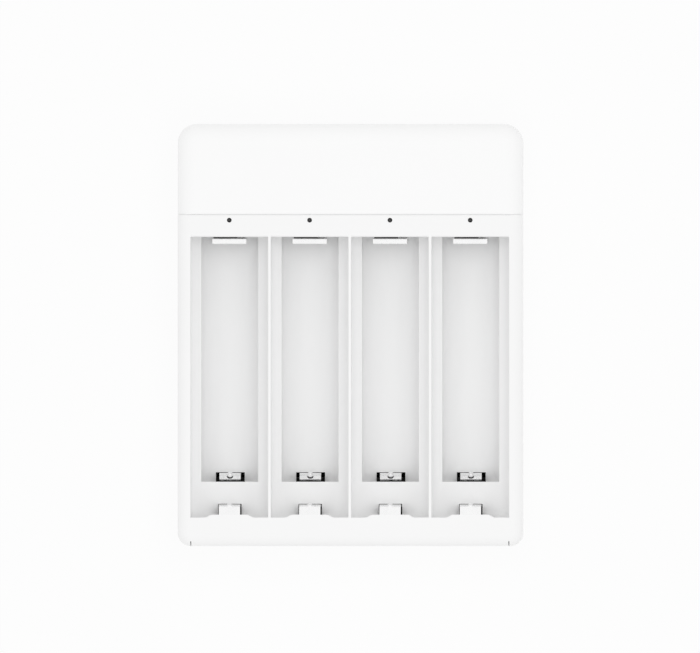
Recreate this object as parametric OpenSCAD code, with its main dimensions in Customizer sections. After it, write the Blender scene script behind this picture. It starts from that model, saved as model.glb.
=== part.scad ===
// Four-bay charger for AA and AAA cells, lying on its back with the bays facing up.
// Millimetres. The origin is under the middle of the body, +Y runs to the head and +Z is up.

/* [Cells] */
// Diameter of an AA cell
aa_d = 14.5; // [13.6:0.1:14.7]
// Diameter of an AAA cell
aaa_d = 10.5; // [9.8:0.1:10.8]
// Free distance between the two contacts of an AA cell
aa_gap = 49.4; // [48.6:0.1:50.2]
// Free distance between the two contacts of an AAA cell
aaa_gap = 43.4; // [42.8:0.1:44]
// Radial clearance round an AA cell
aa_clear = 0.1; // [0.05:0.05:0.3]
// Radial clearance round an AAA cell
aaa_clear = 0.18; // [0.08:0.02:0.3]

/* [Bays] */
// Thickness of the ribs between the bays
rib_t = 0.6; // [0.5:0.1:1.4]
// Thickness of the rail beside each outer bay
rail_t = 2.5; // [2.3:0.1:4]
// Wall thickness of the tubs that hold the cells
tub_t = 1.1; // [0.9:0.1:1.3]
// Height of the AA floor above the AAA floor
cell_step = 6.8; // [6.4:0.05:7.4]
// Radius across the AA floor
aa_dish_r = 12; // [10:0.5:16]
// Height of the rim above the axis of an AA cell
rim_rise = 0.85; // [0.6:0.05:1.6]
// Rounding of the bay edges at the rim
bay_edge = 0.2; // [0.1:0.05:0.24]
// Rounding of the deck edge at the head of each bay
deck_edge = 0.4; // [0.2:0.05:0.8]
// Distance that the wall bump stands out of the foot wall
bump_h = 0.55; // [0.3:0.05:0.9]
// Width of the flat of the wall bump
bump_w = 6.5; // [6:0.1:7.6]
// Width of each curved shoulder of the wall bump
bump_shoulder = 1.45; // [0.8:0.05:2]

/* [Body] */
// Length of the head
head_len = 17.25; // [16:0.25:24]
// Length of the deck strip between the head and the bays
deck_len = 4.28; // [4.1:0.02:6]
// Length of the lip at the foot
lip_len = 5.43; // [5:0.01:8]
// Height of the head above the deck
head_rise = 0.1; // [0.05:0.05:0.6]
// Wall thickness of the housing
wall_t = 1.6; // [1.3:0.1:1.8]
// Thickness of the base floor
floor_t = 1.6; // [1.4:0.1:2.4]
// Thickness of the deck
deck_t = 1.4; // [1.2:0.1:2]
// Space between the base floor and the tubs
under_gap = 4.1; // [3.8:0.1:4.6]
// Plan radius of the head corners
head_corner = 3.7; // [3:0.1:6]
// Rounding of the head's top edges
head_edge = 3.3; // [2:0.1:3.6]
// Plan radius of the foot corners
foot_corner = 2.5; // [2.3:0.1:5]
// Rounding of the rim's outer edge
rim_edge = 2.1; // [1:0.1:2.2]
// Rounding of the underside's edge
base_edge = 1.8; // [0.8:0.1:2.2]
// Shadow gap where the housing parts meet
part_gap = 0.12; // [0.05:0.01:0.3]
// Gap between the head and the deck
seam_gap = 0.02; // [0.02:0.01:0.1]
// Rounding of both edges at that gap
seam_edge = 0.6; // [0.5:0.05:1]
// Half width of the shallow valley along that gap
seam_reach = 0.46; // [0.3:0.02:0.48]
// Width of the two slits in the foot end
slit_w = 0.2; // [0.2:0.05:0.8]
// Depth of the two slits in the foot end
slit_d = 0.9; // [0.5:0.05:1.25]

/* [Contacts] */
// Thickness of the contact sheet
sheet_t = 0.4; // [0.3:0.05:0.5]
// Width of the sprung negative contacts
leaf_w = 4.05; // [3.5:0.05:4.4]
// Radius of the rolled root of a sprung contact
bead_r = 0.6; // [0.5:0.05:0.7]
// Running fit round a rolled root
bead_fit = 0.03; // [0.01:0.01:0.08]
// Distance from the AA contact point to the foot wall
aa_stand = 2.7; // [2.5:0.05:3.2]
// Distance from the AAA contact point to the step
aaa_stand = 1.88; // [1.7:0.02:2.4]
// Height of a contact dimple
dimple_h = 0.3; // [0.15:0.05:0.35]
// Width of a contact dimple
dimple_w = 1.2; // [0.9:0.1:1.4]
// Gap before a leaf in its opening
leaf_room = 0.12; // [0.1:0.02:0.3]
// Gap beside an AA leaf in its slot
slot_side = 0.2; // [0.2:0.05:0.5]
// Gap beside an AAA leaf in its window
window_side = 0.72; // [0.5:0.02:0.9]
// Width of a positive contact
plus_w = 6.5; // [5.5:0.1:8]
// Distance from the positive contact face to the head wall of a bay
plus_stand = 1.34; // [1.2:0.02:1.8]
// Gap inside the fold of a positive contact
plus_fold = 0.25; // [0.1:0.05:0.3]
// Thickness of the ground strip
strip_t = 0.5; // [0.4:0.05:0.6]

/* [Electronics] */
// Thickness of the circuit board
board_t = 1.2; // [0.8:0.1:1.6]
// Width of the circuit board
board_w = 50; // [48:0.5:50.5]
// Height of the posts under the circuit board
post_h = 8.6; // [7.6:0.1:9.6]
// Width of the power socket
usb_w = 8.94; // [8:0.02:9.6]
// Height of the power socket
usb_h = 3.2; // [3:0.05:3.6]
// Length of the power socket
usb_len = 7.3; // [6.5:0.1:8]
// Diameter of a coil
coil_d = 5.8; // [5:0.1:6.2]
// Height of a coil
coil_h = 4; // [3:0.1:5]
// Diameter of a capacitor
can_d = 5; // [4:0.1:5.2]
// Height of a capacitor
can_h = 5.4; // [4:0.1:6]
// Width of the controller chip
chip_w = 6; // [4:0.1:7]
// Width of a charge switch
switch_w = 2.9; // [2:0.1:3.2]
// Diameter of the indicator holes
led_hole_d = 0.9; // [0.7:0.05:1.4]
// Depth of the light pipe tips below the deck
tip_depth = 0.25; // [0.1:0.05:0.5]

/* [Screws] */
// Diameter of a case screw
screw_d = 2; // [1.6:0.1:2.2]
// Diameter of a screw head
screw_head_d = 3.6; // [3.2:0.1:3.8]
// Height of a screw head
screw_head_h = 1.2; // [1:0.1:1.4]
// Length of a screw below its head
screw_len = 8; // [6:0.5:9]

/* [Hidden] */
$fn = 64;

white = [0.93, 0.93, 0.92];
nickel = [0.76, 0.75, 0.72];
copper = [0.72, 0.52, 0.32];
green = [0.10, 0.34, 0.22];
black = [0.10, 0.10, 0.11];
smoke = [0.22, 0.22, 0.24];

// Bays, in X
bay_count = 4;
aa_r = aa_d / 2 + aa_clear;
aaa_r = aaa_d / 2 + aaa_clear;
pitch = 2 * aa_r + rib_t;
half_w = (bay_count * pitch - rib_t) / 2 + rail_t;
bays = [for (i = [0 : bay_count - 1]) (i - (bay_count - 1) / 2) * pitch];

// Bends and domes of the sprung leaves
aa_bend_r = 0.9;
aa_bend_a = 60;
aa_turn = 20;
aa_tip = 1.85;
aaa_bend_r = 1.2;
aaa_bend_a = 50;
aaa_turn = 20;
aaa_tip = 0.95;
lance_r = 0.6;
lance_t = 0.45;
lance_end = 0.15;
dimple_sink = 0.05;
dimple_r = (dimple_w * dimple_w / 4 + dimple_h * dimple_h) / (2 * dimple_h);
dimple_seat = sheet_t / 2 - dimple_sink + dimple_h - dimple_r;

// How far a dome on a bend stands before the middle of its leaf
function dome_reach(bend, turn) = (bend + dimple_seat) * cos(turn) + dimple_r - bend;

// Stations, in Y
bay_len = plus_stand + aa_gap + aa_stand;
body_len = lip_len + bay_len + deck_len + head_len;
y_foot = -body_len / 2;
y_end = y_foot + lip_len;
y_wall = y_end + bay_len;
y_seam = y_wall + deck_len;
y_head = y_seam + head_len;
y_plus = y_wall - plus_stand;
y_aa = y_plus - aa_gap;
y_aaa = y_plus - aaa_gap;
y_step = y_aaa - aaa_stand;
y_aa_root = y_aa - dome_reach(aa_bend_r, aa_turn);
y_aaa_root = y_aaa - dome_reach(aaa_bend_r, aaa_turn);

// Levels, in Z
z_trough = floor_t + under_gap + tub_t;
z_aaa = z_trough + aaa_r;
z_aa_floor = z_trough + cell_step;
z_aa = z_aa_floor + aa_r;
z_deck = z_aa + rim_rise;
z_head = z_deck + head_rise;
z_root = floor_t + strip_t + bead_r + bead_fit;
z_board = floor_t + post_h;
z_chip = z_board + board_t;
z_part = z_chip + usb_h / 2;
z_roof = z_aa_floor - tub_t;

// Height above the AA floor to which the trough is cut
trough_over = 2;

// Sprung leaves
leaf_slot = leaf_w / 2 + slot_side;
leaf_window = leaf_w / 2 + window_side;
aa_bead = leaf_slot + 0.6;
aaa_bead = leaf_window + 0.6;
cap_w = 1.2;
aa_bend_z = z_aa - 2.9;
aaa_bend_z = z_roof - 2.2;
slot_top = z_aa - 0.6;
window_top = z_roof - 0.3;

// Positive contacts
plus_top = z_deck - 0.9;
plus_low = z_aaa - 2.6;
plus_bend = 0.2;
plus_depth = 2 * sheet_t + plus_fold;
tail_z = z_chip + 0.5;
tail_room = 0.2;
tail_x = 1.45;
tail_w = plus_w / 2 - tail_x;
y_led = y_wall + 3.2;
y_tail = y_wall + tub_t + 1.1;

// Light pipes and their sleeves
tip_r = led_hole_d / 2 - 0.02;
pipe_r = 1.05;
sleeve_t = 0.7;
sleeve_h = 1.5;
led_w = 1.6;
led_h = 0.8;

// Circuit board
y_board = y_wall + tub_t + 0.3;
y_board_end = y_head - wall_t - 0.4;
usb_wall = 0.3;
usb_front = y_head - 0.6;
usb_clear = 0.35;
part_room = 0.7;
chip_row = y_board + 6.4;
chip_h = 1.1;
switch_l = switch_w * 0.8;
switch_pitch = switch_w + 1.5;
coil_x = usb_w / 2 + part_room + coil_d / 2;
can_foot = can_d + 0.2;

// Tongue of the tray under the head
tongue_len = 1.8;
tongue_t = 1.1;
tongue_side = head_edge - wall_t;
z_tongue = z_head - wall_t - part_gap;

// Screws
screw_fit = 0.02;
head_fit = 0.25;
boss_t = 1;
wall_to_screw = 2.5;
screw_x = [pitch, half_w - wall_t - wall_to_screw];
screw_y = [y_aaa + 6, y_head - wall_t - wall_to_screw];
screw_seat = [screw_head_h + 0.3, z_part - screw_len / 2];
boss_join = [floor_t + under_gap - 0.2, z_part];
pilot_r = screw_d / 2 + screw_fit;
boss_r = pilot_r + 1.6;
head_bore = screw_head_d / 2 + head_fit;

module box(x0, x1, y0, y1, z0, z1) {
  translate([x0, y0, z0])
    cube([x1 - x0, y1 - y0, z1 - z0]);
}

// Sweeps a section drawn in X and Z along Y
module along_y(y0, y1) {
  translate([0, y1, 0])
    rotate([90, 0, 0])
      linear_extrude(y1 - y0)
        children();
}

// Sweeps a section drawn in Y and Z along X
module along_x(x0, x1) {
  translate([x0, 0, 0])
    rotate([90, 0, 90])
      linear_extrude(x1 - x0)
        children();
}

module at_bay(i) {
  translate([bays[i], 0, 0])
    children();
}

// What a rounding takes off the corner at the origin, towards plus X and plus Y. The reach is how
// far back it starts: less than r leaves a shallow edge.
module edge_waste(r, reach) {
  difference() {
    translate([-reach, -r])
      square([reach + 1, r + 1]);
    translate([-reach, -r])
      circle(r);
  }
}

module corner_waste(r) {
  edge_waste(r, r);
}

// Wall section from its corner axis out to r, with a rounded lower and upper edge
module rim_section(r, z0, z1, low, high) {
  difference() {
    translate([0, z0])
      square([r, z1 - z0]);
    if (high > 0)
      translate([r, z1])
        corner_waste(high);
    if (low > 0)
      translate([r, z0])
        mirror([0, 1])
          corner_waste(low);
  }
}

module full_section(w, z0, z1, low, high) {
  rim_section(w, z0, z1, low, high);
  mirror([1, 0])
    rim_section(w, z0, z1, low, high);
}

// One end of a slab: its straight edge and two turned corners
module slab_end(w, y, r, z0, z1, low, high) {
  translate([0, y - r, 0])
    along_x(r - w, w - r)
      rim_section(r, z0, z1, low, high);
  for (side = [0, 1])
    mirror([side, 0, 0])
      translate([w - r, y - r, 0])
        rotate_extrude(angle = 90)
          rim_section(r, z0, z1, low, high);
}

// Slab with half width w, plan radius r0 at its foot and r1 at its head; a radius of 0 is a cut end
module slab(w, y0, y1, z0, z1, r0, r1, low, high) {
  along_y(y0 + r0, y1 - r1)
    full_section(w, z0, z1, low, high);
  if (r1 > 0)
    slab_end(w, y1, r1, z0, z1, low, high);
  if (r0 > 0)
    mirror([0, 1, 0])
      slab_end(w, -y0, r0, z0, z1, low, high);
}

// U-shaped section: round below its axis, straight above it
module u_section(r, z_axis, z_top) {
  translate([-r, z_axis])
    square([2 * r, z_top - z_axis]);
  intersection() {
    translate([0, z_axis])
      circle(r);
    translate([-r, z_axis - r])
      square([2 * r, r]);
  }
}

// Opening at the rim with eased edges
module rim_easing(r) {
  difference() {
    translate([-r - bay_edge, z_deck - bay_edge])
      square([2 * (r + bay_edge), 1]);
    for (side = [-1, 1])
      translate([side * (r + bay_edge), z_deck - bay_edge])
        circle(bay_edge);
  }
}

// Space between two ribs, down to the dished AA floor
module cell_section(grow, z_top) {
  intersection() {
    translate([0, z_aa_floor + aa_dish_r])
      circle(aa_dish_r + grow);
    translate([-aa_r - grow, z_roof - 1])
      square([2 * (aa_r + grow), z_top - z_roof + 1]);
  }
}

// One bay's tub: the AA space, and the AAA trough in its floor from the step to the head wall
module tub(grow, z_top) {
  along_y(y_end - grow, y_wall + grow)
    cell_section(grow, z_top);
  along_y(y_step - grow, y_wall + grow)
    u_section(aaa_r + grow, z_aaa, z_aa_floor + trough_over);
}

// Smooth swelling of the foot wall behind an AA contact
module wall_bump() {
  steps = 12;
  side = [for (k = [0 : steps])
    [bump_w / 2 + bump_shoulder * (1 - k / steps), bump_h * (1 - cos(180 * k / steps)) / 2]];
  other = [for (k = [steps : -1 : 0]) [-side[k][0], side[k][1]]];
  base = [[-side[0][0], -0.3], [side[0][0], -0.3]];
  intersection() {
    translate([0, y_end, z_roof])
      linear_extrude(z_deck - z_roof)
        polygon(concat(side, other, base));
    along_y(y_end - 1, y_end + 2)
      cell_section(tub_t / 2, z_deck);
  }
}

// Posts under a tub that keep the rolled root of a leaf in its cradle
module root_cap(y_root, inner, outer, z_top) {
  for (side = [0, 1])
    mirror([side, 0, 0])
      box(inner + 0.05, outer + cap_w, y_root - bead_r, y_root + bead_r,
        z_root + bead_r + bead_fit, z_top);
}

module tray_shell() {
  difference() {
    slab(half_w, y_foot, y_seam - seam_gap / 2, z_part + part_gap, z_deck,
      foot_corner, 0, 0, rim_edge);
    slab(half_w - wall_t, y_foot + wall_t, y_seam + 1, z_part - 1, z_deck - deck_t,
      max(foot_corner - wall_t, 0.4), 0, 0, max(rim_edge - wall_t, 0.4));
  }
}

module tray_solid() {
  tray_shell();
  box(tongue_side + wall_t - half_w, half_w - wall_t - tongue_side, y_seam - tongue_len, y_seam - 0.3,
    z_tongue - tongue_t, z_deck - deck_t + 0.2);
  box(tongue_side + wall_t - half_w, half_w - wall_t - tongue_side, y_seam - tongue_len, y_seam + tongue_len,
    z_tongue - tongue_t, z_tongue);
  for (i = [0 : bay_count - 1])
    at_bay(i) {
      tub(tub_t, z_deck - 0.5);
      translate([0, y_led, z_deck - deck_t - sleeve_h])
        cylinder(r = pipe_r + sleeve_t, h = sleeve_h + 0.4);
      root_cap(y_aa_root, leaf_slot, aa_bead, z_aa_floor + 0.3);
      root_cap(y_aaa_root, leaf_window, aaa_bead, z_trough + 0.6);
    }
  for (side = [-1, 1])
    translate([side * screw_x[0], screw_y[0], boss_join[0]])
      cylinder(r = boss_r, h = z_aaa + 2.4 - boss_join[0]);
}

module bay_tray() {
  color(white)
    difference() {
      union() {
        difference() {
          tray_solid();
          for (i = [0 : bay_count - 1])
            at_bay(i) {
              tub(0, z_deck + 1);
              along_y(y_end, y_wall)
                rim_easing(aa_r);
              along_x(-aa_r, aa_r)
                translate([y_wall, z_deck])
                  mirror([1, 0])
                    corner_waste(deck_edge);
            }
          along_x(-half_w - 1, half_w + 1)
            translate([y_seam - seam_gap / 2, z_deck])
              edge_waste(seam_edge, seam_reach);
          box(-half_w, half_w, y_seam - seam_gap / 2, y_seam + tongue_len + 1, z_tongue, z_deck);
        }
        for (i = [0 : bay_count - 1])
          at_bay(i)
            wall_bump();
      }
      for (i = [0 : bay_count - 1])
        at_bay(i)
          tray_openings();
      for (side = [-1, 1]) {
        box(side * (half_w - rail_t) - slit_w / 2, side * (half_w - rail_t) + slit_w / 2,
          y_foot - 1, y_foot + slit_d, z_part - 1, z_deck + 1);
        translate([side * screw_x[0], screw_y[0], boss_join[0] - 1])
          cylinder(r = pilot_r, h = screw_seat[0] + screw_len + 2 - boss_join[0]);
      }
    }
}

// Slots, windows and holes of one bay
module tray_openings() {
  box(-leaf_slot, leaf_slot, y_end - tub_t - 1, y_aa_root + sheet_t / 2 + leaf_room,
    z_roof - 1, slot_top);
  box(-leaf_window, leaf_window, y_step - tub_t - 1, y_aaa_root + sheet_t / 2 + leaf_room,
    0, window_top);
  box(tail_x - tail_room, plus_w / 2 + tail_room, y_wall - 0.5, y_wall + tub_t + 1,
    tail_z - tail_room, tail_z + sheet_t + tail_room);
  translate([0, y_led, z_deck - deck_t - 3])
    cylinder(r = led_hole_d / 2, h = deck_t + 4);
  translate([0, y_led, z_deck - deck_t - sleeve_h - 1])
    cylinder(r = pipe_r + 0.05, h = sleeve_h + 1);
}

module socket_outline(w, h) {
  square([w - h, h], center = true);
  for (side = [-1, 1])
    translate([side * (w - h) / 2, 0])
      circle(h / 2);
}

module socket_opening() {
  along_y(y_head - wall_t - 1, y_head + 1)
    translate([0, z_part])
      socket_outline(usb_w + 2 * usb_clear, usb_h + 2 * usb_clear);
}

module head_cover() {
  color(white)
    difference() {
      union() {
        difference() {
          slab(half_w, y_seam + seam_gap / 2, y_head, z_part + part_gap, z_head,
            0, head_corner, 0, head_edge);
          slab(half_w - wall_t, y_seam - 1, y_head - wall_t, z_part - 1, z_head - wall_t,
            0, head_corner - wall_t, 0, head_edge - wall_t);
        }
        intersection() {
          slab(half_w - wall_t / 2, y_seam, y_head - wall_t / 2, z_part, z_head - wall_t / 2,
            0, head_corner - wall_t / 2, 0, head_edge - wall_t / 2);
          for (side = [-1, 1])
            translate([side * screw_x[1], screw_y[1], boss_join[1]])
              cylinder(r = boss_r, h = z_head - boss_join[1]);
        }
      }
      for (side = [-1, 1])
        translate([side * screw_x[1], screw_y[1], boss_join[1] - 1])
          cylinder(r = pilot_r, h = screw_seat[1] + screw_len + 2 - boss_join[1]);
      along_x(-half_w - 1, half_w + 1)
        translate([y_seam + seam_gap / 2, z_head])
          mirror([1, 0])
            edge_waste(seam_edge, seam_reach);
      socket_opening();
    }
}

// Two ribs that hold the rolled root of a leaf on the ground strip
module root_cradle(y_root, half) {
  for (side = [-1, 1])
    translate([-half - 0.4, y_root + side * (bead_r + bead_fit + 0.45) - 0.45, floor_t - 0.2])
      cube([2 * half + 0.8, 0.9, z_root - floor_t + 0.2]);
}

module base_solid() {
  difference() {
    slab(half_w, y_foot, y_head, 0, z_part, foot_corner, head_corner, base_edge, 0);
    slab(half_w - wall_t, y_foot + wall_t, y_head - wall_t, floor_t, z_part + 1,
      max(foot_corner - wall_t, 0.4), head_corner - wall_t, max(base_edge - wall_t, 0.4), 0);
  }
  for (i = [0 : bay_count - 1])
    at_bay(i) {
      root_cradle(y_aa_root, aa_bead);
      root_cradle(y_aaa_root, aaa_bead);
    }
  intersection() {
    slab(half_w - wall_t / 2, y_foot + 1, y_head - wall_t / 2, floor_t / 2, z_part,
      foot_corner, head_corner - wall_t / 2, base_edge, 0);
    for (side = [-1, 1])
      for (k = [0, 1])
        translate([side * screw_x[k], screw_y[k], 0])
          cylinder(r = head_bore + boss_t, h = boss_join[k]);
  }
  for (side = [-1, 1])
    for (y = [y_board + 5, y_board_end - 3])
      translate([side * (board_w / 2 - 4.5), y, floor_t - 0.2])
        cylinder(r = 1.8, h = z_board - floor_t + 0.2);
}

module base_shell() {
  color(white)
    difference() {
      base_solid();
      for (side = [-1, 1])
        for (k = [0, 1])
          translate([side * screw_x[k], screw_y[k], -1]) {
            cylinder(r = head_bore, h = screw_seat[k] + 1);
            cylinder(r = screw_d / 2 + 0.15, h = boss_join[k] + 2);
          }
      socket_opening();
    }
}

// Centre line section of a sheet that rises from its root and bends back
module leaf_section(rise, bend, angle, tip) {
  translate([-sheet_t / 2, 0])
    square([sheet_t, rise]);
  translate([-bend, rise]) {
    intersection() {
      difference() {
        circle(bend + sheet_t / 2);
        circle(bend - sheet_t / 2);
      }
      polygon([[0, 0], [9, 0], [9 * cos(angle / 2), 9 * sin(angle / 2)] * 1.5,
        [9 * cos(angle), 9 * sin(angle)]]);
    }
    rotate(angle)
      translate([bend - sheet_t / 2, 0])
        square([sheet_t, tip]);
  }
}

// Pressed dome that stands out along plus Y
module dimple() {
  intersection() {
    translate([0, dimple_h - dimple_r, 0])
      sphere(dimple_r);
    box(-2, 2, -sheet_t / 2, 2, -2, 2);
  }
}

// Dome on a leaf's bend, turned up from level
module bend_dimple(z, bend, turn) {
  translate([0, -bend, z - z_root])
    rotate([turn, 0, 0])
      translate([0, bend + sheet_t / 2 - dimple_sink, 0])
        dimple();
}

module aa_contact(i) {
  color(nickel)
    translate([bays[i], y_aa_root, z_root]) {
      translate([-aa_bead, 0, 0])
        rotate([0, 90, 0])
          cylinder(r = bead_r, h = 2 * aa_bead);
      along_x(-leaf_w / 2, leaf_w / 2)
        leaf_section(aa_bend_z - z_root, aa_bend_r, aa_bend_a, aa_tip);
      bend_dimple(aa_bend_z, aa_bend_r, aa_turn);
    }
}

// Crescent lanced through the tip of an AAA leaf
module lance_hole() {
  translate([0, -aaa_bend_r, aaa_bend_z - z_root])
    rotate([aaa_bend_a, 0, 0])
      translate([0, aaa_bend_r + 1, aaa_tip - lance_end - lance_r])
        rotate([90, 0, 0])
          linear_extrude(2)
            difference() {
              circle(lance_r);
              translate([0, -lance_t])
                circle(lance_r);
            }
}

module aaa_contact(i) {
  color(nickel)
    translate([bays[i], y_aaa_root, z_root])
      difference() {
        union() {
          translate([-aaa_bead, 0, 0])
            rotate([0, 90, 0])
              cylinder(r = bead_r, h = 2 * aaa_bead);
          along_x(-leaf_w / 2, leaf_w / 2)
            leaf_section(aaa_bend_z - z_root, aaa_bend_r, aaa_bend_a, aaa_tip);
          bend_dimple(aaa_bend_z, aaa_bend_r, aaa_turn);
        }
        lance_hole();
      }
}

// Folded sheet: a tall front leg, a rounded top and a shorter rear leg
module plus_section() {
  translate([y_plus + plus_depth / 2, 0])
    difference() {
      full_section(plus_depth / 2, plus_low, plus_top, 0, plus_bend);
      translate([-plus_fold / 2, plus_low - 1])
        square([plus_fold, plus_top - sheet_t - plus_low + 1]);
      translate([-plus_fold / 2, plus_low - 1])
        square([plus_depth, tail_z - plus_low + 1]);
    }
}

module positive_contact(i) {
  color(nickel)
    at_bay(i) {
      along_x(-plus_w / 2, plus_w / 2)
        plus_section();
      box(tail_x, tail_x + tail_w, y_plus + plus_depth - sheet_t / 2, y_tail + sheet_t,
        tail_z, tail_z + sheet_t);
      box(tail_x, tail_x + tail_w, y_tail, y_tail + sheet_t, z_board - 0.8, tail_z + sheet_t / 2);
    }
}

// Turned rod under a narrow tip with a round end
module light_pipe(i) {
  foot = z_chip + led_h + 0.1;
  crown = z_deck - tip_depth - tip_r;
  color(smoke)
    at_bay(i)
      translate([0, y_led, 0])
        rotate_extrude() {
          translate([0, foot])
            square([pipe_r, z_deck - deck_t - foot]);
          translate([0, z_deck - deck_t - 0.5])
            square([tip_r, crown + 0.5 + deck_t - z_deck]);
          translate([0, crown])
            intersection() {
              circle(tip_r);
              square(tip_r);
            }
        }
}

module status_led(i) {
  color([0.95, 0.92, 0.75])
    at_bay(i)
      translate([-led_w / 2, y_led - led_w / 4, z_chip])
        cube([led_w, led_w / 2, led_h]);
}

module circuit_board() {
  color(green)
    difference() {
      box(-board_w / 2, board_w / 2, y_board, y_board_end, z_board, z_chip);
      for (i = [0 : bay_count - 1])
        at_bay(i)
          box(tail_x - 0.15, plus_w / 2 + 0.15, y_tail - 0.15, y_tail + sheet_t + 0.15,
            z_board - 1, z_chip + 1);
      box(-1.65, 1.65, y_board + 4.85, y_board + 5.15 + strip_t, z_board - 1, z_chip + 1);
    }
}

// Flat stamped strip under all sprung leaves, with a leg up to the board
module ground_strip() {
  reach = bays[3] + aaa_bead;
  color(copper) {
    for (y = [y_aa_root, y_aaa_root])
      box(-reach, reach, y - bead_r, y + bead_r, floor_t, floor_t + strip_t);
    box(-1.5, 1.5, y_aa_root, y_board + 5 + strip_t, floor_t, floor_t + strip_t);
    box(-1.5, 1.5, y_board + 5, y_board + 5 + strip_t, floor_t, z_chip + 0.5);
  }
}

module usb_shell() {
  color(nickel)
    difference() {
      along_y(usb_front - usb_len, usb_front)
        translate([0, z_part])
          socket_outline(usb_w, usb_h);
      along_y(usb_front - usb_len + 1.2, usb_front + 1)
        translate([0, z_part])
          socket_outline(usb_w - 2 * usb_wall, usb_h - 2 * usb_wall);
    }
}

module usb_tongue() {
  color(black)
    along_y(usb_front - usb_len + 1.2, usb_front - 0.7)
      translate([0, z_part])
        square([usb_w * 0.74, 0.7], center = true);
}

module charge_controller() {
  color(black)
    translate([chip_w - board_w / 2, chip_row, z_chip])
      cube([chip_w, chip_w * 0.8, chip_h]);
}

module inductor(i) {
  color([0.22, 0.22, 0.23])
    translate([i == 0 ? -coil_x : coil_x, y_board_end - part_room - coil_d / 2, z_chip])
      difference() {
        cylinder(r = coil_d / 2, h = coil_h);
        translate([0, 0, coil_h * 0.85])
          difference() {
            cylinder(r = coil_d * 0.43, h = coil_h);
            cylinder(r = coil_d * 0.28, h = coil_h);
          }
      }
}

module capacitor(i) {
  color([0.62, 0.63, 0.65])
    translate([board_w / 2 - part_room - can_foot / 2 - (1 - i) * (can_foot + part_room),
      chip_row + can_foot / 2, z_chip]) {
      cylinder(r = can_d / 2, h = can_h);
      translate([-can_foot / 2, -can_foot / 2, 0])
        cube([can_foot, can_foot, can_h / 6]);
    }
}

module charge_switches() {
  color(black)
    for (k = [0 : 3])
      translate([(k - 1.5) * switch_pitch - switch_w / 2, chip_row, z_chip])
        cube([switch_w, switch_l, chip_h]);
}

module case_screws() {
  color([0.5, 0.5, 0.52])
    for (side = [-1, 1])
      for (k = [0, 1])
        translate([side * screw_x[k], screw_y[k], screw_seat[k]])
          difference() {
            union() {
              translate([0, 0, -screw_head_h])
                cylinder(r = screw_head_d / 2, h = screw_head_h);
              cylinder(r = screw_d / 2, h = screw_len);
            }
            for (turn = [0, 90])
              rotate(turn)
                box(-screw_head_d * 0.32, screw_head_d * 0.32, -0.25, 0.25,
                  -screw_head_h - 1, -screw_head_h * 0.45);
          }
}

base_shell();
bay_tray();
head_cover();
circuit_board();
usb_shell();
usb_tongue();
light_pipe(0);  // light_pipe_1
light_pipe(1);  // light_pipe_2
light_pipe(2);  // light_pipe_3
light_pipe(3);  // light_pipe_4
status_led(0);  // status_led_1
status_led(1);  // status_led_2
status_led(2);  // status_led_3
status_led(3);  // status_led_4
positive_contact(0);  // positive_contact_1
positive_contact(1);  // positive_contact_2
positive_contact(2);  // positive_contact_3
positive_contact(3);  // positive_contact_4
aa_contact(0);  // aa_contact_1
aa_contact(1);  // aa_contact_2
aa_contact(2);  // aa_contact_3
aa_contact(3);  // aa_contact_4
aaa_contact(0);  // aaa_contact_1
aaa_contact(1);  // aaa_contact_2
aaa_contact(2);  // aaa_contact_3
aaa_contact(3);  // aaa_contact_4
ground_strip();
charge_controller();
inductor(0);  // inductor_1
inductor(1);  // inductor_2
capacitor(0);  // capacitor_1
capacitor(1);  // capacitor_2
charge_switches();
case_screws();
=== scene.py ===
import math

import bpy
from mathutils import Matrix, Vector


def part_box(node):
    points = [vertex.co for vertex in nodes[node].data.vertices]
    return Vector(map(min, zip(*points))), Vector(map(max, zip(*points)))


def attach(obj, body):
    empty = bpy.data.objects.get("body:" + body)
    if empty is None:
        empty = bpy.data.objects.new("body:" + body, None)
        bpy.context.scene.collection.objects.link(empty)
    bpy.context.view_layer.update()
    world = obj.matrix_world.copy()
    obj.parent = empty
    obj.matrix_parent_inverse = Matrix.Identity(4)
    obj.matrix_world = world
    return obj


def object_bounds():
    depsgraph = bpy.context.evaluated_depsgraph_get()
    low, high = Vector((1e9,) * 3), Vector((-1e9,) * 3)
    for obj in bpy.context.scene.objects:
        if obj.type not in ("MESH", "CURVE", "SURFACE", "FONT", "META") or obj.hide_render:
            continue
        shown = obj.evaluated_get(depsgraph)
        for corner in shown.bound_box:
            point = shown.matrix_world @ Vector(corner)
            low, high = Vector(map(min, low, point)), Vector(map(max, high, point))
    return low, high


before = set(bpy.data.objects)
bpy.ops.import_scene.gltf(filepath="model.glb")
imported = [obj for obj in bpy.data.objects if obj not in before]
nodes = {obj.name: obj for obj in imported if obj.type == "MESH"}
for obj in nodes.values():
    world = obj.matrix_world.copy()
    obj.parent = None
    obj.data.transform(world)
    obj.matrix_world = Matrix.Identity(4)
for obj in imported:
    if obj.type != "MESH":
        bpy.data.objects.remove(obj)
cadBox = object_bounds()  # box of the solids, before anything is added
mm = 0.001  # Blender works in metres
bayNumbers = (1, 2, 3, 4)
print("frame loaded:", len(nodes), "nodes")


# Working in Blender as by hand

def onlyThis(piece):  # nothing else selected, this one active
    bpy.ops.object.select_all(action="DESELECT")
    piece.select_set(True)
    bpy.context.view_layer.objects.active = piece


def applyModifier(piece, kind, **settings):
    onlyThis(piece)
    modifier = piece.modifiers.new(kind.title(), kind)
    for name, value in settings.items():
        setattr(modifier, name, value)
    bpy.ops.object.modifier_apply(modifier=modifier.name)


def paint(piece, material):  # one material in place of any other
    piece.data.materials.clear()
    piece.data.materials.append(material)


# Shader nodes

def grey(level):
    return (level, level, level, 1)


def feed(tree, value, socket):  # a number or a colour is set, a socket is linked
    if isinstance(value, (int, float, tuple)):
        socket.default_value = value
    else:
        tree.links.new(value, socket)


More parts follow.
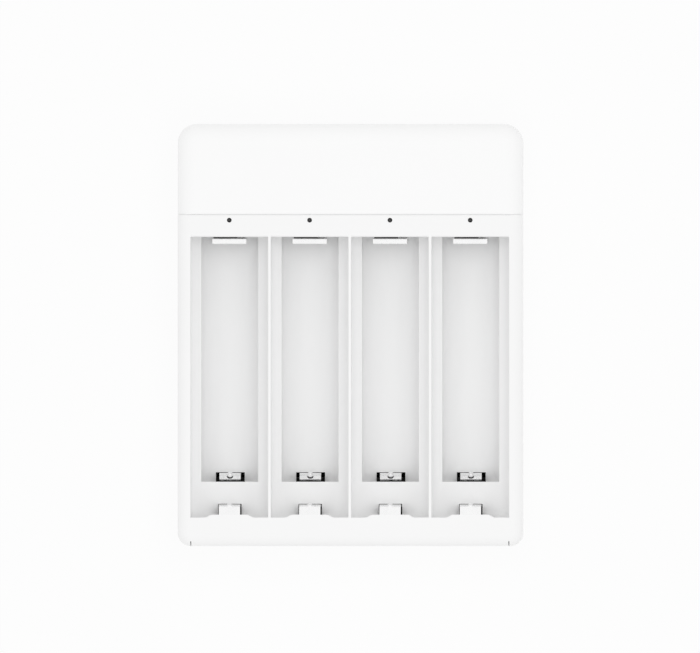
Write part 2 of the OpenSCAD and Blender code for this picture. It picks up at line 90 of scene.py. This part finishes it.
def newGroup(name, inputs, outputs):
    group = bpy.data.node_groups.new(name, "ShaderNodeTree")
    for label, kind, value in inputs:
        socket = group.interface.new_socket(label, in_out="INPUT", socket_type="NodeSocket" + kind)
        socket.default_value = value
    for label, kind in outputs:
        group.interface.new_socket(label, in_out="OUTPUT", socket_type="NodeSocket" + kind)
    return group, group.nodes.new("NodeGroupInput"), group.nodes.new("NodeGroupOutput")


def addNoise(group, coords, scale, detail):
    noise = group.nodes.new("ShaderNodeTexNoise")
    noise.inputs["Detail"].default_value = detail
    group.links.new(coords, noise.inputs["Vector"])
    feed(group, scale, noise.inputs["Scale"])
    return noise.outputs["Fac"]


noiseSpan = {"From Min": 0.3, "From Max": 0.7}  # most of a noise lies between these


def addRange(group, noise, low, high):  # a noise spread between two sockets
    spread = group.nodes.new("ShaderNodeMapRange")
    for label, value in noiseSpan.items():
        spread.inputs[label].default_value = value
    group.links.new(noise, spread.inputs["Value"])
    group.links.new(low, spread.inputs["To Min"])
    group.links.new(high, spread.inputs["To Max"])
    return spread.outputs["Result"]


def addColourMix(tree, share, one, two):
    mix = tree.nodes.new("ShaderNodeMix")
    mix.data_type = "RGBA"
    feed(tree, share, mix.inputs["Factor"])
    feed(tree, one, mix.inputs["A"])
    feed(tree, two, mix.inputs["B"])
    return mix.outputs["Result"]


def addShaderMix(tree, share, one, two):
    mix = tree.nodes.new("ShaderNodeMixShader")
    for value, socket in zip((share, one, two), mix.inputs):
        feed(tree, value, socket)
    return mix.outputs[0]


def addMath(tree, operation, one, two):
    node = tree.nodes.new("ShaderNodeMath")
    node.operation = operation
    node.use_clamp = True
    for value, socket in zip((one, two), node.inputs):
        feed(tree, value, socket)
    return node.outputs[0]


# Shader groups

surfaceOutputs = (("Color", "Color"), ("Roughness", "Float"), ("Height", "Float"))


def giveSurface(group, result, colour, roughness, height):
    group.links.new(colour, result.inputs["Color"])
    group.links.new(roughness, result.inputs["Roughness"])
    group.links.new(height, result.inputs["Height"])


skinNoise = {"drift": 38, "detail": 2}


def makeMouldedSkin(look):  # fine spark grain of a mould over a slow drift of tone
    group, given, result = newGroup("mouldedSkin", (
        ("Light", "Color", grey(0.9)), ("Dark", "Color", grey(0.86)),
        ("Smooth", "Float", 0.3), ("Rough", "Float", 0.42),
        ("Grain", "Float", 5200.0)), surfaceOutputs)
    coords = group.nodes.new("ShaderNodeTexCoord").outputs["Object"]
    drift = addNoise(group, coords, look["drift"], look["detail"])
    grain = addNoise(group, coords, given.outputs["Grain"], look["detail"])
    giveSurface(group, result,
                addColourMix(group, drift, given.outputs["Dark"], given.outputs["Light"]),
                addRange(group, grain, given.outputs["Smooth"], given.outputs["Rough"]), grain)
    return group


sheetNoise = {"lines": 1, "lineDetail": 3, "cloud": 420, "cloudDetail": 2}


def makeRolledSheet(look):  # rolling lines along one direction, with a soft cloud of tarnish
    group, given, result = newGroup("rolledSheet", (
        ("Bright", "Color", (0.8, 0.8, 0.79, 1)), ("Dull", "Color", (0.66, 0.66, 0.65, 1)),
        ("Smooth", "Float", 0.16), ("Rough", "Float", 0.34),
        ("Stretch", "Vector", (2600.0, 300.0, 300.0))), surfaceOutputs)
    coords = group.nodes.new("ShaderNodeTexCoord").outputs["Object"]
    scaled = group.nodes.new("ShaderNodeVectorMath")
    scaled.operation = "MULTIPLY"
    group.links.new(coords, scaled.inputs[0])
    group.links.new(given.outputs["Stretch"], scaled.inputs[1])
    lines = addNoise(group, scaled.outputs["Vector"], look["lines"], look["lineDetail"])
    cloud = addNoise(group, coords, look["cloud"], look["cloudDetail"])
    giveSurface(group, result,
                addColourMix(group, cloud, given.outputs["Dull"], given.outputs["Bright"]),
                addRange(group, lines, given.outputs["Smooth"], given.outputs["Rough"]), lines)
    return group


boardNoise = {"track": 0.06, "grain": 3000, "detail": 2}


def makeEtchedBoard(look):  # solder mask with faint copper tracks under it
    group, given, result = newGroup("etchedBoard", (
        ("Mask", "Color", (0.02, 0.13, 0.07, 1)), ("Track", "Color", (0.05, 0.24, 0.12, 1)),
        ("Smooth", "Float", 0.25), ("Rough", "Float", 0.4),
        ("Pitch", "Float", 420.0)), surfaceOutputs)
    coords = group.nodes.new("ShaderNodeTexCoord").outputs["Object"]
    bricks = group.nodes.new("ShaderNodeTexBrick")
    bricks.inputs["Mortar Size"].default_value = look["track"]
    for label, level in (("Color1", 0), ("Color2", 0), ("Mortar", 1)):
        bricks.inputs[label].default_value = grey(level)
    group.links.new(coords, bricks.inputs["Vector"])
    group.links.new(given.outputs["Pitch"], bricks.inputs["Scale"])
    tracks = bricks.outputs["Fac"]
    grain = addNoise(group, coords, look["grain"], look["detail"])
    giveSurface(group, result,
                addColourMix(group, tracks, given.outputs["Mask"], given.outputs["Track"]),
                addRange(group, grain, given.outputs["Smooth"], given.outputs["Rough"]), tracks)
    return group


# 1 inside a box in the object's own space, marking where shade is painted, 0 outside it; X is
# folded, so the box repeats
def makeInnerShade():
    group, given, result = newGroup("innerShade", (
        ("Low", "Vector", (0.0, 0.0, 0.0)), ("High", "Vector", (0.0, 0.0, 0.0)),
        ("Fold", "Float", 1.0)), (("Mask", "Float"),))
    place = group.nodes.new("ShaderNodeSeparateXYZ")
    group.links.new(group.nodes.new("ShaderNodeTexCoord").outputs["Object"], place.inputs[0])
    spots = {"X": addMath(group, "PINGPONG", place.outputs["X"], given.outputs["Fold"]),
             "Y": place.outputs["Y"], "Z": place.outputs["Z"]}
    mask = None
    for corner, operation in (("Low", "GREATER_THAN"), ("High", "LESS_THAN")):
        limit = group.nodes.new("ShaderNodeSeparateXYZ")
        group.links.new(given.outputs[corner], limit.inputs[0])
        for axis, spot in spots.items():
            test = addMath(group, operation, spot, limit.outputs[axis])
            mask = test if mask is None else addMath(group, "MULTIPLY", mask, test)
    group.links.new(mask, result.inputs["Mask"])
    return group


mouldedSkin = makeMouldedSkin(skinNoise)
rolledSheet = makeRolledSheet(sheetNoise)
etchedBoard = makeEtchedBoard(boardNoise)
innerShade = makeInnerShade()
paintedShadeTone = grey(0.012)  # painted shade: plastic and metal deep in the housing take this dark colour where shade falls


# A material from one group, with its own values; what is the same all over sits on the shader.
# Inside the boxes, in mm, it takes the painted shade tone, a dark colour in place of shade.
def newFinish(name, group, values, bump, shader, boxes=()):
    material = bpy.data.materials.new(name)
    material.use_nodes = True
    tree = material.node_tree
    principled = tree.nodes["Principled BSDF"]
    for label, value in shader.items():
        principled.inputs[label].default_value = value
    surface = tree.nodes.new("ShaderNodeGroup")
    surface.node_tree = group
    for label, value in values.items():
        surface.inputs[label].default_value = value
    relief = tree.nodes.new("ShaderNodeBump")
    relief.inputs["Strength"].default_value = bump["strength"]
    relief.inputs["Distance"].default_value = bump["depth"] * mm
    colour = surface.outputs["Color"]
    # painted shade: inside each box the base colour goes dark
    for low, high, fold in boxes:
        shade = tree.nodes.new("ShaderNodeGroup")
        shade.node_tree = innerShade
        shade.inputs["Low"].default_value = [edge * mm for edge in low]
        shade.inputs["High"].default_value = [edge * mm for edge in high]
        shade.inputs["Fold"].default_value = fold * mm
        colour = addColourMix(tree, shade.outputs["Mask"], colour, paintedShadeTone)
    tree.links.new(colour, principled.inputs["Base Color"])
    tree.links.new(surface.outputs["Roughness"], principled.inputs["Roughness"])
    tree.links.new(surface.outputs["Height"], relief.inputs["Height"])
    tree.links.new(relief.outputs["Normal"], principled.inputs["Normal"])
    return material


# Finishes; bump depths are in mm

plastic = {"Metallic": 0.0, "IOR": 1.5}
metal = {"Metallic": 1.0}

whiteSkin = {"Light": grey(0.935), "Dark": grey(0.92), "Smooth": 0.34, "Rough": 0.42, "Grain": 5200}
# a lighter copy of the white skin: painted light, the head shows lit brighter than the deck
headLitSkin = dict(whiteSkin, Light=grey(0.96), Dark=grey(0.95))
whiteGrain = {"strength": 0.12, "depth": 0.01}

# Boxes of painted shade: low corner, high corner and fold. A far fold gives one box that is the
# same left and right, a fold at half the bay pitch gives one in every bay.
farFold = 1000
bayFold = 7.65
trayShade = (  # painted shade under the troughs, and in the slot behind each positive contact
    ((-1, -45, -1), (40, 45, 6.7), farFold),
    ((4.45, 18.4, 9.7), (8, 18.75, 20.6), bayFold),
    ((4.45, 18.4, 6), (8, 18.66, 8), bayFold),
)
# painted shade on the inside of the base shell, under the tray
baseShade = (((-1, -38.65, 1.55), (31.25, 38.65, 12.95), farFold),)
# painted shade on the nickel deep under the troughs, low on the negative contacts
leafShade = (((-1, -45, -1), (40, 15, 5.6), farFold),)
housing = {
    "bay_tray": newFinish("trayWhite", mouldedSkin, whiteSkin, whiteGrain, plastic, trayShade),
    "base_shell": newFinish("baseWhite", mouldedSkin, whiteSkin, whiteGrain, plastic, baseShade),
    "head_cover": newFinish("headWhiteLit", mouldedSkin, headLitSkin, whiteGrain, plastic),
}

smokedPipe = newFinish(
    "smokedPipe", mouldedSkin,
    {"Light": grey(0.05), "Dark": grey(0.035), "Smooth": 0.22, "Rough": 0.3, "Grain": 9000},
    {"strength": 0.05, "depth": 0.005}, plastic)
ledResin = newFinish(
    "ledResin", mouldedSkin,
    {"Light": (0.86, 0.82, 0.55, 1), "Dark": (0.8, 0.75, 0.46, 1), "Smooth": 0.3, "Rough": 0.45},
    {"strength": 0.05, "depth": 0.01}, plastic)
blackEpoxy = newFinish(
    "blackEpoxy", mouldedSkin,
    {"Light": grey(0.03), "Dark": grey(0.018), "Smooth": 0.5, "Rough": 0.7, "Grain": 7000},
    {"strength": 0.3, "depth": 0.01}, plastic)
ferriteGrey = newFinish(
    "ferriteGrey", mouldedSkin,
    {"Light": grey(0.07), "Dark": grey(0.045), "Smooth": 0.5, "Rough": 0.65, "Grain": 4200},
    {"strength": 0.4, "depth": 0.02}, plastic)
nickelPlate = newFinish(
    "nickelPlate", rolledSheet,
    {"Bright": grey(0.96), "Dull": grey(0.91), "Smooth": 0.2, "Rough": 0.3},
    {"strength": 0.03, "depth": 0.01}, metal, leafShade)
socketSteel = newFinish(
    "socketSteel", rolledSheet,
    {"Bright": grey(0.72), "Dull": grey(0.6), "Smooth": 0.2, "Rough": 0.36,
     "Stretch": (400, 2600, 400)},
    {"strength": 0.08, "depth": 0.01}, metal)
screwSteel = newFinish(
    "screwSteel", rolledSheet,
    {"Bright": grey(0.58), "Dull": grey(0.46), "Smooth": 0.25, "Rough": 0.42,
     "Stretch": (900, 900, 900)},
    {"strength": 0.1, "depth": 0.01}, metal)
stripCopper = newFinish(
    "stripCopper", rolledSheet,
    {"Bright": (0.8, 0.5, 0.28, 1), "Dull": (0.62, 0.36, 0.2, 1), "Smooth": 0.25, "Rough": 0.4},
    {"strength": 0.08, "depth": 0.01}, metal)
canAluminium = newFinish(
    "canAluminium", rolledSheet,
    {"Bright": grey(0.7), "Dull": grey(0.6), "Smooth": 0.25, "Rough": 0.4,
     "Stretch": (300, 300, 2600)},
    {"strength": 0.06, "depth": 0.01}, metal)
boardGreen = newFinish(
    "boardGreen", etchedBoard, {}, {"strength": 0.2, "depth": 0.03}, plastic)
print("finishes made:", len(bpy.data.materials))


# Housing and contacts, which keep the shape of their solids

for node, material in housing.items():
    paint(nodes[node], material)
for number in bayNumbers:
    for kind in ("positive", "aa", "aaa"):
        paint(nodes[f"{kind}_contact_{number}"], nickelPlate)
print("housing and contacts finished")


# Small parts that keep the shape of their solids

smallParts = {
    "circuit_board": boardGreen, "ground_strip": stripCopper, "usb_shell": socketSteel,
    "usb_tongue": blackEpoxy, "charge_controller": blackEpoxy, "charge_switches": blackEpoxy,
    "inductor_1": ferriteGrey, "inductor_2": ferriteGrey, "capacitor_1": canAluminium,
    "capacitor_2": canAluminium, "case_screws": screwSteel,
}
for number in bayNumbers:
    smallParts[f"light_pipe_{number}"] = smokedPipe
    smallParts[f"status_led_{number}"] = ledResin
for node, material in smallParts.items():
    paint(nodes[node], material)
print("small parts finished:", len(smallParts))


# Contact pads on both faces of the socket's tongue

padLook = {"count": 12, "rows": 2, "pitch": 0.5, "width": 0.28, "length": 1.6, "height": 0.06,
           "inset": 0.3}  # lengths in mm


def makePads(look):
    low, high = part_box("usb_tongue")
    start = -(look["count"] - 1) / 2 * look["pitch"] * mm
    middle = high.y - (look["inset"] + look["length"] / 2) * mm
    bpy.ops.object.select_all(action="DESELECT")
    bpy.ops.mesh.primitive_cube_add(size=1, location=(start, middle, high.z), scale=(
        look["width"] * mm, look["length"] * mm, look["height"] * mm))
    pads = bpy.context.object
    pads.name = "socketPads"
    bpy.ops.object.transform_apply(location=True, rotation=True, scale=True)
    across = (look["pitch"] * mm, 0, 0)
    down = (0, 0, low.z - high.z)
    for count, step in ((look["count"], across), (look["rows"], down)):
        applyModifier(pads, "ARRAY", count=count, use_relative_offset=False,
                      use_constant_offset=True, constant_offset_displace=step)
    paint(pads, nickelPlate)
    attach(pads, "housing")


makePads(padLook)
print("socket pads added")


# Floor: mostly plain white, with a weak shadow; seen from below it is clear

floorLook = {"side": 3.0, "drop": 0.02, "matte": 0.9, "white": 0.995, "seen": 0.88}  # m, mm, shares


def makeFloor(look):
    bpy.ops.object.select_all(action="DESELECT")
    bpy.ops.mesh.primitive_plane_add(size=look["side"], location=(0, 0, -look["drop"] * mm))
    floor = bpy.context.object
    floor.name = "floor"
    material = bpy.data.materials.new("paleFloor")
    material.use_nodes = True
    tree = material.node_tree
    tree.nodes.clear()
    output = tree.nodes.new("ShaderNodeOutputMaterial")
    matte = tree.nodes.new("ShaderNodeBsdfDiffuse")
    matte.inputs["Color"].default_value = grey(look["matte"])
    plain = tree.nodes.new("ShaderNodeEmission")
    plain.inputs["Strength"].default_value = look["white"]
    clear = tree.nodes.new("ShaderNodeBsdfTransparent")
    path = tree.nodes.new("ShaderNodeLightPath")
    side = tree.nodes.new("ShaderNodeNewGeometry")
    white = addShaderMix(tree, look["seen"], matte.outputs[0], plain.outputs[0])
    below = addMath(tree, "MULTIPLY", side.outputs["Backfacing"], path.outputs["Is Camera Ray"])
    both = addShaderMix(tree, below, white, clear.outputs[0])
    tree.links.new(both, output.inputs["Surface"])
    material.cycles.emission_sampling = "NONE"  # even light on the underside too
    floor.data.materials.append(material)


makeFloor(floorLook)
print("floor laid")


# Light: an even sky and one soft lamp a little to the right

skyLook = {"light": 0.79, "white": 0.985}  # what lights the part, what is seen and mirrored
topLamp = {"wide": 0.3, "long": 0.5, "height": 0.7, "lean": 4, "power": 1.12}  # m, degrees, W


def addBackground(tree, strength):
    background = tree.nodes.new("ShaderNodeBackground")
    background.inputs["Strength"].default_value = strength
    background.inputs["Color"].default_value = grey(1)
    return background.outputs[0]


def makeSky(look):
    world = bpy.data.worlds.new("paleSky")
    bpy.context.scene.world = world
    world.use_nodes = True
    tree = world.node_tree
    tree.nodes.clear()
    output = tree.nodes.new("ShaderNodeOutputWorld")
    light = addBackground(tree, look["light"])
    plain = addBackground(tree, look["white"])
    path = tree.nodes.new("ShaderNodeLightPath")
    seen = addMath(tree, "ADD", path.outputs["Is Camera Ray"], path.outputs["Is Glossy Ray"])
    seen = addMath(tree, "ADD", seen, path.outputs["Is Transmission Ray"])
    tree.links.new(addShaderMix(tree, seen, light, plain), output.inputs["Surface"])


def makeLamp(name, look, centre):
    lean = math.radians(look["lean"])
    away = look["height"] * Vector((math.sin(lean), 0, math.cos(lean)))
    bpy.ops.object.select_all(action="DESELECT")
    bpy.ops.object.light_add(type="AREA", rotation=(0, lean, 0), location=centre + away)
    lamp = bpy.context.object
    lamp.name = name
    lamp.data.shape = "RECTANGLE"
    lamp.data.size = look["wide"]
    lamp.data.size_y = look["long"]
    lamp.data.energy = look["power"]
    lamp.visible_glossy = False  # metal shows the even sky alone


makeSky(skyLook)
makeLamp("topLamp", topLamp, (cadBox[0] + cadBox[1]) / 2)
print("lights set")


# Camera: straight down, a touch from the right, without perspective

cameraLook = {"width": 133.33, "x": 0.05, "y": 1.62,  # mm
              "lean": 0.8, "away": 0.6, "near": 0.01}  # degrees, m, m


def makeCamera(look):
    lean = math.radians(look["lean"])
    aim = Vector((look["x"] * mm, look["y"] * mm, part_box("bay_tray")[1].z))
    away = look["away"] * Vector((math.sin(lean), 0, math.cos(lean)))
    bpy.ops.object.select_all(action="DESELECT")
    bpy.ops.object.camera_add(location=aim + away, rotation=(0, lean, 0))
    camera = bpy.context.object
    camera.data.type = "ORTHO"
    camera.data.ortho_scale = look["width"] * mm
    camera.data.clip_start = look["near"]
    bpy.context.scene.camera = camera


makeCamera(cameraLook)
bpy.context.scene.view_settings.view_transform = "Standard"
print("camera placed")
